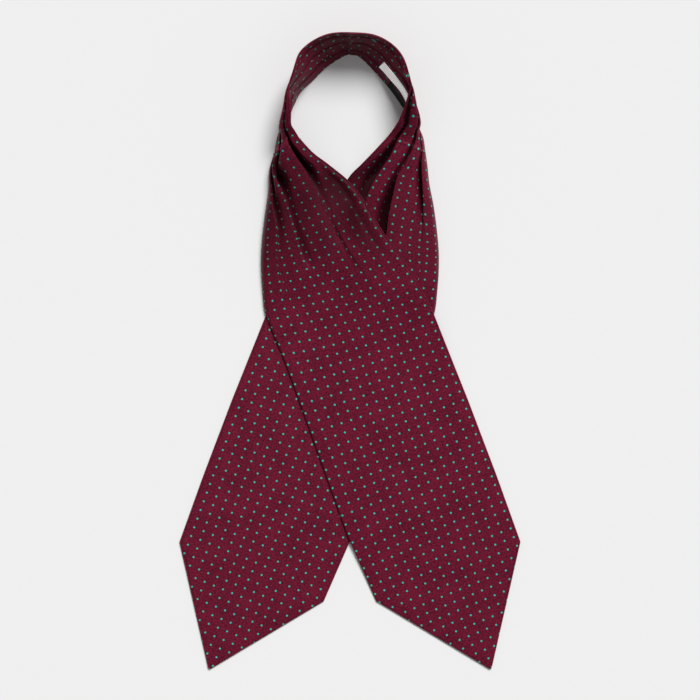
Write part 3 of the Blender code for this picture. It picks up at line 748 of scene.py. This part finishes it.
under = closed_wall("blade_under_cloth", placed(under_faces.front), placed(under_faces.back),
                    under_faces.cloth + UNDER_SHIFT, silk, under_faces.hollow, under_faces.shade)
over_front, over_back = placed(over_faces.front), placed(over_faces.back)
lift = lift_over(over_back, under)
over_front[..., 2] += lift
over_back[..., 2] += lift
over = closed_wall("blade_over_cloth", over_front, over_back, over_faces.cloth + OVER_SHIFT, silk,
                   over_faces.hollow, over_faces.shade)
print("highest lift, mm:", round(float(lift.max()) / MM, 2))

# %% [markdown]
# ## The neckband
# From seam to seam the band has the same three pleats, sewn flat. It stands on its
# lower edge and leans outwards at the back, so its inner face shows there and its outer
# face at the sides. Stations round the ring give its upper edge, its foot and its bulge.

# %% Rows of the neckband
BAND_ROWS = 1.6
BAND_REACH = 2.6         # how wide the hollow beside each pleat of the band is
IN_WALL = 1.2            # a pleat this deep doesn't show on the inner face
BAND_PUFF = 0.5          # how much its strips swell, against those of a blade
ARCH = 1.0               # how much a swelling stretch stays high before it falls
ARCH_BULGE = 8.0         # the bulge that gives the whole of it
SWELL_EARLY = 0.75       # below 1, the band swells more above its middle
INNER_GROOVE = 0.8       # depth and width of the pleats' lines on the inner face
GROOVE_WIDTH = 0.9
DEEPEST_PRESS = 0.75     # of the wall, under a line or a crease
# Painted shade on the band's inner face, given as the depth in a pleat that it stands for, and in its
# creases and along its pleats' lines
INNER_SHADE = (1.7, 3.9) # how far in the inner face looks, at its sides and behind
SHADE_WIDTH = 26.0
CREASE_SHADE = 2.0       # how much darker a crease and a line look, for each mm
GROOVE_SHADE = 1.5
BACK_STATION = 9
WANDER = 6.5             # the dots of the pleated inner side are less regular, in mm
WANDER_SIZE = 17.0
WANDER_SEEDS = (0.0, 90.0)
MEETING = 14.0           # over this length the band takes the shape of the blade's end

# Creases across the band where it was pressed, by distance round the ring
Crease = namedtuple("Crease", "distance width depth")
CREASES = [
    Crease(104.0, 2.6, 0.5),
    Crease(119.0, 1.8, 0.6),
    Crease(125.5, 2.4, 0.9),
    Crease(141.0, 4.0, 0.4),
    Crease(163.0, 2.2, 0.4),
]


def band_keys():
    """Distance round the ring of each station's middle."""
    middles = np.array([((s.upper_x + s.foot_x) / 2, (s.upper_y + s.foot_y) / 2) for s in BAND_STATIONS])
    steps = np.linalg.norm(np.diff(middles, axis=0), axis=1)
    return [0.0] + list(np.cumsum(steps))


def leaning_curve(upper, foot, bulge):
    """Curve of the standing band: from its upper edge, swelling out, to the table."""
    outward = (upper + foot) / 2 - RING_CENTRE
    outward[2] = 0.0
    outward = unit(outward)
    arch = 1.0 + ARCH * min(1.0, bulge / ARCH_BULGE)

    def at(share):
        share = np.clip(share, 0.0, 1.0)[..., None]
        points = lerp(upper, foot, share) + outward * bulge * np.sin(np.pi * share ** SWELL_EARLY)
        points[..., 2:] = upper[2] * (1.0 - share ** arch)
        return points

    return at


def band_row(keys, distance):
    row = table_at(keys, BAND_STATIONS, distance)
    seam = OVER_TOP[0] if distance < keys[-1] / 2 else UNDER_TOP[0]
    upper = np.array([row.upper_x, row.upper_y, row.upper_z])
    foot = np.array([row.foot_x, row.foot_y, 0.0])
    sewn = min(1.0, max(0.0, row.sewn))
    leaning = leaning_curve(upper, foot, row.bulge)
    ground = np.array([row.upper_x, row.upper_y, 0.0])
    crown = max(seam.crown, row.upper_z)
    face, _, whole = shoulder_curve(ground, foot, row.upper_z, crown, seam.roll)
    direction = unit(foot - ground)
    lining, _, lining_whole = shoulder_curve(
        ground, foot - direction * CLOTH, row.upper_z - CLOTH, crown - CLOTH, seam.roll - CLOTH)
    ring_lips = (row.lip_1 * whole, row.lip_2 * whole, row.lip_3 * whole)
    seam_lips = (seam.lip_1, seam.lip_2, seam.lip_3)
    lips = [lerp(a, b, sewn) for a, b in zip(ring_lips, seam_lips)]
    start = OVER_HOLLOWS[0] if distance < keys[-1] / 2 else UNDER_HOLLOWS[0]
    dips = [lerp(row.dip, dip, sewn) for dip in (start.dip_1, start.dip_2, start.dip_3)]
    reaches = [lerp(BAND_REACH, reach, sewn) for reach in (start.reach_1, start.reach_2, start.reach_3)]
    places = across_section(lips, dips, reaches, whole, FOLD_STEP, BAND_PUFF)

    def outer(along):
        return lerp(leaning(along / whole), face(along), sewn)

    plain = outer(places.distance)
    tangent = unit(outer(places.distance + NEAR) - outer(places.distance - NEAR))
    share = np.minimum(places.behind / whole, 1.0)
    inner_plain = leaning(share)
    inner_tangent = unit(leaning(share + 0.01) - leaning(share - 0.01))
    groove = sum(np.exp(-((places.behind - lip) / GROOVE_WIDTH) ** 2) for lip in lips) * INNER_GROOVE
    behind_depth = np.maximum(0.0, places.behind_depth - IN_WALL)
    return (plain, tangent, inner_plain, inner_tangent, lining(share * lining_whole), places.depth,
            behind_depth, np.full(share.shape, sewn), share, groove, places.cloth)


# %% Faces of the neckband
Band = namedtuple("Band", "distances outer inner share cloth hollow")


def meet_blade(outer, inner, from_seam, blade, end):
    """Eases both faces of the band onto the first row of the blade it is sewn to."""
    fade = (1.0 - ease(from_seam / MEETING))[:, None, None]
    outer += (blade.front[0] - outer[end]) * fade
    inner += (blade.back[0] - inner[end]) * fade


def band_faces():
    keys = band_keys()
    distances = even_steps(SEWN_GAP / 2, keys[-1] - SEWN_GAP / 2, BAND_ROWS)
    rows = [band_row(keys, distance) for distance in distances]
    plain, tangent, behind, behind_tangent, lining, depth, behind_depth, sewn, share, groove, cloth = (
        np.array(part) for part in zip(*rows))
    normal = unit(np.cross(tangent, along_differences(plain)) * -1)
    outer = plain - unit(normal + sewn[..., None] * PRESS_DOWN) * depth[..., None]
    outer[..., 2] = np.maximum(outer[..., 2], 0.0)
    normal = unit(np.cross(behind_tangent, along_differences(behind)) * -1)
    creased = sum(c.depth * np.exp(-((distances - c.distance) / c.width) ** 2) for c in CREASES)
    thickness = CLOTH - np.minimum(groove + creased[:, None], DEEPEST_PRESS * CLOTH)
    inner = lerp(behind - normal * thickness[..., None], lining, sewn[..., None])
    inner = inner - unit(normal + sewn[..., None] * PRESS_DOWN) * behind_depth[..., None]
    inner[..., 2] = np.maximum(inner[..., 2], 0.0)
    inner[:, -1, 2] = 0.0
    meet_blade(outer, inner, distances, over_faces, 0)
    meet_blade(outer, inner, distances[-1] - distances, under_faces, -1)
    # Painted shade on the inner face: darkest behind, and deeper in the creases and along the pleats' lines
    behind_it = np.exp(-((distances - keys[BACK_STATION]) / SHADE_WIDTH) ** 2)
    inner_painted_shade = lerp(INNER_SHADE[0], INNER_SHADE[1], behind_it) + CREASE_SHADE * creased
    inner_painted_shade = inner_painted_shade[:, None] + GROOVE_SHADE * groove
    way = (distances / distances[-1])[:, None]
    rows_round = round((keys[-1] - OVER_SHIFT[1]) / DOT_ALONG)
    run = np.broadcast_to(lerp(OVER_SHIFT[1], -rows_round * DOT_ALONG, way), cloth.shape)
    pattern = np.stack([cloth + lerp(OVER_SHIFT[0], UNDER_SHIFT[0], way), run], axis=-1)
    wander = [[[noise.noise(Vector((d, c, seed)) / WANDER_SIZE) for seed in WANDER_SEEDS] for c in line]
              for d, line in zip(distances, cloth)]
    behind_pattern = pattern + np.array(wander) * WANDER
    # The outer face gets painted shade from the depth in its pleats, as deep as beside a seam all round
    return Band(distances, outer, inner, share, np.stack([pattern, behind_pattern]),
                np.stack([depth * SEAM_SHADE, inner_painted_shade]))


band = band_faces()
neckband = closed_wall("neckband_cloth", placed(band.outer), placed(band.inner), band.cloth, silk,
                       band.hollow)
print("length round the ring, mm:", round(float(band.distances[-1])))

# %% [markdown]
# ## Labels
# Two small woven labels are sewn to the inner face at the right of the back. Both are
# left plain. They are made from the points of the band's inner face, moved out a little
# way, so they bend exactly as the silk behind them does.

# %% Woven labels
LABEL_RIB = 0.8


def woven_label(name, code, roughness, painted_glow):
    """Damask-woven polyester: matt, with a fine rib across. The white label glows a
    little, painted light that keeps it bright in the shade of the band."""
    made, tree, shader = new_material(name)
    place = add(tree, "ShaderNodeUVMap", uv_map="cloth").outputs["UV"]
    phase = add(tree, "ShaderNodeVectorMath", {0: place, 1: (0.0, 2 * math.pi / LABEL_RIB, 0.0)},
                operation="DOT_PRODUCT").outputs["Value"]
    rib = add(tree, "ShaderNodeMath", {0: phase}, operation="SINE").outputs[0]
    bump = add(tree, "ShaderNodeBump", {"Height": rib, "Distance": 0.00005, "Strength": 0.5})
    tree.links.new(bump.outputs["Normal"], shader.inputs["Normal"])
    shader.inputs["Base Color"].default_value = linear(code)
    shader.inputs["Roughness"].default_value = roughness
    shader.inputs["Specular IOR Level"].default_value = 0.12
    shader.inputs["Emission Color"].default_value = linear(code)
    shader.inputs["Emission Strength"].default_value = painted_glow
    return made


Label = namedtuple("Label", "start end high low end_high end_low")
WHITE_LABEL = Label(170.0, 219.0, 0.60, 0.81, 0.60, 0.72)
BLACK_LABEL = Label(191.0, 222.0, 0.83, 0.97, 0.75, 0.97)
LABEL_STEP = 1.0
LABEL_COLUMNS = 10
LABEL_WIDTH = 9.0        # of the white one, for the ribs


def label_grid(label):
    """The stretch of the band's inner face that a label covers."""
    steps = even_steps(label.start, label.end, LABEL_STEP)
    grid = np.empty((len(steps), LABEL_COLUMNS, 3))
    for column, way in enumerate(np.linspace(0, 1, LABEL_COLUMNS)):
        shares = np.interp(band.distances, [label.start, label.end],
                           [lerp(label.high, label.low, way), lerp(label.end_high, label.end_low, way)])
        for axis in range(3):
            places = [np.interp(share, s, line[:, axis])
                      for share, s, line in zip(shares, band.share, band.inner)]
            grid[:, column, axis] = np.interp(steps, band.distances, places)
    return grid, steps


def make_label(name, label, finish):
    grid, steps = label_grid(label)
    across = np.gradient(grid, axis=1)
    normal = unit(np.cross(across, np.gradient(grid, axis=0)) * -1)
    near = placed(grid - normal * LABEL_GAP)
    far = placed(grid - normal * (LABEL_GAP + LABEL_THICKNESS))
    cloth = np.stack(np.meshgrid(np.linspace(0, LABEL_WIDTH, LABEL_COLUMNS), steps), axis=-1)
    return closed_wall(name, far, near, cloth, finish)


# The white label glows a little: painted light that keeps it bright in the band's shade
white_damask = woven_label("white_damask", "#f2f2f0", 0.75, 0.3)
black_satin = woven_label("black_satin", "#0a0a0c", 0.6, 0.0)
label_white = make_label("label_white_cloth", WHITE_LABEL, white_damask)
label_black = make_label("label_black_cloth", BLACK_LABEL, black_satin)

# %% [markdown]
# ## Stitches
# What repeats along a path is a task for Geometry Nodes: the tree takes a line of
# points, spaces thread stitches evenly along it and turns each to follow it. The same
# tree sews the labels down with pale or dark thread and the pleats to the seams with
# burgundy thread. Its sizes are named inputs, in metres.

# %% Thread
def sewing_thread(name, code):
    """Fine polyester sewing thread: round and nearly matt."""
    made, _, shader = new_material(name)
    shader.inputs["Base Color"].default_value = linear(code)
    shader.inputs["Roughness"].default_value = 0.6
    shader.inputs["Specular IOR Level"].default_value = 0.12
    return made


Stitch = namedtuple("Stitch", "pitch length thickness")
LABEL_STITCH = Stitch(2.6, 1.7, 0.32)
PLEAT_STITCH = Stitch(3.0, 2.0, 0.4)


# %% The tree that sews along a line
def stitch_tree():
    tree = bpy.data.node_groups.new("stitches", "GeometryNodeTree")
    face = tree.interface
    face.new_socket("Path", in_out="INPUT", socket_type="NodeSocketGeometry")
    sizes = {name: face.new_socket(name, in_out="INPUT", socket_type="NodeSocketFloat").identifier
             for name in ("Pitch", "Length", "Thickness")}
    thread = face.new_socket("Thread", in_out="INPUT", socket_type="NodeSocketMaterial").identifier
    face.new_socket("Stitches", in_out="OUTPUT", socket_type="NodeSocketGeometry")
    given = add(tree, "NodeGroupInput").outputs
    curve = add(tree, "GeometryNodeMeshToCurve", {"Mesh": given["Path"]}).outputs["Curve"]
    places = add(tree, "GeometryNodeCurveToPoints", {"Curve": curve, "Length": given["Pitch"]},
                 mode="LENGTH")
    radius = add(tree, "ShaderNodeMath", {0: given["Thickness"], 1: 0.5}, operation="MULTIPLY").outputs[0]
    stitch = add(tree, "GeometryNodeMeshCylinder",
                 {"Vertices": 6, "Radius": radius, "Depth": given["Length"]}).outputs["Mesh"]
    size = add(tree, "FunctionNodeRandomValue", {2: 0.85, 3: 1.12, "Seed": 7}, data_type="FLOAT").outputs[1]
    sewn = add(tree, "GeometryNodeInstanceOnPoints",
               {"Points": places.outputs["Points"], "Instance": stitch,
                "Rotation": places.outputs["Rotation"], "Scale": size}).outputs["Instances"]
    real = add(tree, "GeometryNodeRealizeInstances", {"Geometry": sewn}).outputs["Geometry"]
    finish = add(tree, "GeometryNodeSetMaterial", {"Geometry": real, "Material": given["Thread"]})
    out = add(tree, "NodeGroupOutput")
    tree.links.new(finish.outputs["Geometry"], out.inputs["Stitches"])
    return tree, sizes, thread


def sewn_along(name, path, stitch, finish):
    """The stitches along a line of points, in metres, as a mesh of their own."""
    mesh = bpy.data.meshes.new(name)
    mesh.from_pydata(path.tolist(), [(i, i + 1) for i in range(len(path) - 1)], [])
    line = bpy.data.objects.new(name, mesh)
    bpy.context.scene.collection.objects.link(line)
    sewing = line.modifiers.new("stitches", "NODES")
    sewing.node_group = STITCH_TREE
    for size, value in zip(("Pitch", "Length", "Thickness"), stitch):
        sewing[STITCH_SIZES[size]] = value * MM
    sewing[STITCH_THREAD] = finish
    ready = line.evaluated_get(bpy.context.evaluated_depsgraph_get())
    made = bpy.data.meshes.new_from_object(ready)
    line.modifiers.remove(sewing)
    line.data = made
    bpy.data.meshes.remove(mesh)
    made.shade_smooth()
    print(f"{name}: {len(made.polygons)} faces")
    return line


STITCH_TREE, STITCH_SIZES, STITCH_THREAD = stitch_tree()

# %% Lines that are sewn
LABEL_INSET = 0.5        # of the label's stitching from its edge, in columns of its grid
STITCH_FROM = 2.0        # above the table, where a seam's stitches end
LABEL_STITCH_LIFT = 0.1  # the middle of the thread above a label and above the silk
SEAM_STITCH_LIFT = 0.15


def label_line(label):
    """A line just above a label's face, all round inside its edge."""
    grid, _ = label_grid(label)
    normal = unit(np.cross(np.gradient(grid, axis=1), np.gradient(grid, axis=0)) * -1)
    face = grid - normal * (LABEL_GAP + LABEL_THICKNESS + LABEL_STITCH_LIFT)
    near = lerp(face[1:-1, 0], face[1:-1, 1], LABEL_INSET)
    far = lerp(face[1:-1, -1], face[1:-1, -2], LABEL_INSET)
    return placed(np.concatenate([near, far[::-1], near[:1]]))


def seam_line(front):
    """A line across the pleats, just above the outer face, beside a seam."""
    line = front[1]
    normal = unit(np.cross(front[2] - line, np.gradient(line, axis=0)))
    up = np.where(normal[:, 2:] < 0, -normal, normal)
    return (line + up * SEAM_STITCH_LIFT * MM)[line[:, 2] > STITCH_FROM * MM]


burgundy_thread = sewing_thread("burgundy_thread", "#4c1022")
white_stitches = sewn_along("stitches_white_label", label_line(WHITE_LABEL), LABEL_STITCH,
                            sewing_thread("white_thread", "#e8e8e6"))
black_stitches = sewn_along("stitches_black_label", label_line(BLACK_LABEL), LABEL_STITCH,
                            sewing_thread("black_thread", "#101012"))
over_stitches = sewn_along("stitches_over_seam", seam_line(over_front), PLEAT_STITCH, burgundy_thread)
under_stitches = sewn_along("stitches_under_seam", seam_line(placed(under_faces.front)), PLEAT_STITCH,
                            burgundy_thread)

# %% [markdown]
# ## What each piece is to the collision model
# Every piece rides on the one body and stands for its CAD solid, which is hidden.

# %% Riding
def dress(piece, node):
    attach(piece, "root")
    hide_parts(node)


dress(under, "blade_under")
dress(over, "blade_over")
dress(neckband, "neckband")
dress(label_white, "label_white")
dress(label_black, "label_black")
dress(white_stitches, "label_white")
dress(black_stitches, "label_black")
dress(over_stitches, "blade_over")
dress(under_stitches, "blade_under")

# %% [markdown]
# ## Table, light and camera
# The photograph is taken from straight above with a long lens. A broad soft sun from
# the upper right gives even light over the whole table, and the sky fills the rest.

# %% The table
TABLE_HALF = 3.0         # in metres
TABLE_DROP = 0.0002      # keeps the table's face from lying in that of the cloth


def make_table():
    made, _, shader = new_material("pale_paper")
    shader.inputs["Base Color"].default_value = linear("#eeeeee")
    shader.inputs["Roughness"].default_value = 0.9
    shader.inputs["Specular IOR Level"].default_value = 0.1
    mesh = bpy.data.meshes.new("table")
    turns = ((-1, -1), (1, -1), (1, 1), (-1, 1))
    mesh.from_pydata([(x * TABLE_HALF, y * TABLE_HALF, -TABLE_DROP) for x, y in turns], [], [(0, 1, 2, 3)])
    mesh.materials.append(made)
    table = bpy.data.objects.new("table", mesh)
    bpy.context.scene.collection.objects.link(table)
    return table


table = make_table()

# %% The light
KEY_FROM = Vector((0.30, 0.75, 0.72))
world = bpy.data.worlds.new("sky")
world.use_nodes = True
world.node_tree.nodes["Background"].inputs["Color"].default_value = (1.0, 1.0, 1.0, 1.0)
world.node_tree.nodes["Background"].inputs["Strength"].default_value = 0.25
bpy.context.scene.world = world
sun = bpy.data.lights.new("key", "SUN")
sun.energy = 3.6
sun.angle = math.radians(26)
key = bpy.data.objects.new("key", sun)
key.rotation_euler = (-KEY_FROM).to_track_quat("-Z", "Y").to_euler()
bpy.context.scene.collection.objects.link(key)
bpy.context.scene.view_settings.view_transform = "Standard"

# %% The camera
lens = bpy.data.cameras.new("camera")
lens.lens = 135.0
lens.sensor_width = 36.0
camera = bpy.data.objects.new("camera", lens)
camera.location = (0.0, FRAME_SHIFT * MM, 2.533)
bpy.context.scene.collection.objects.link(camera)
bpy.context.scene.camera = camera
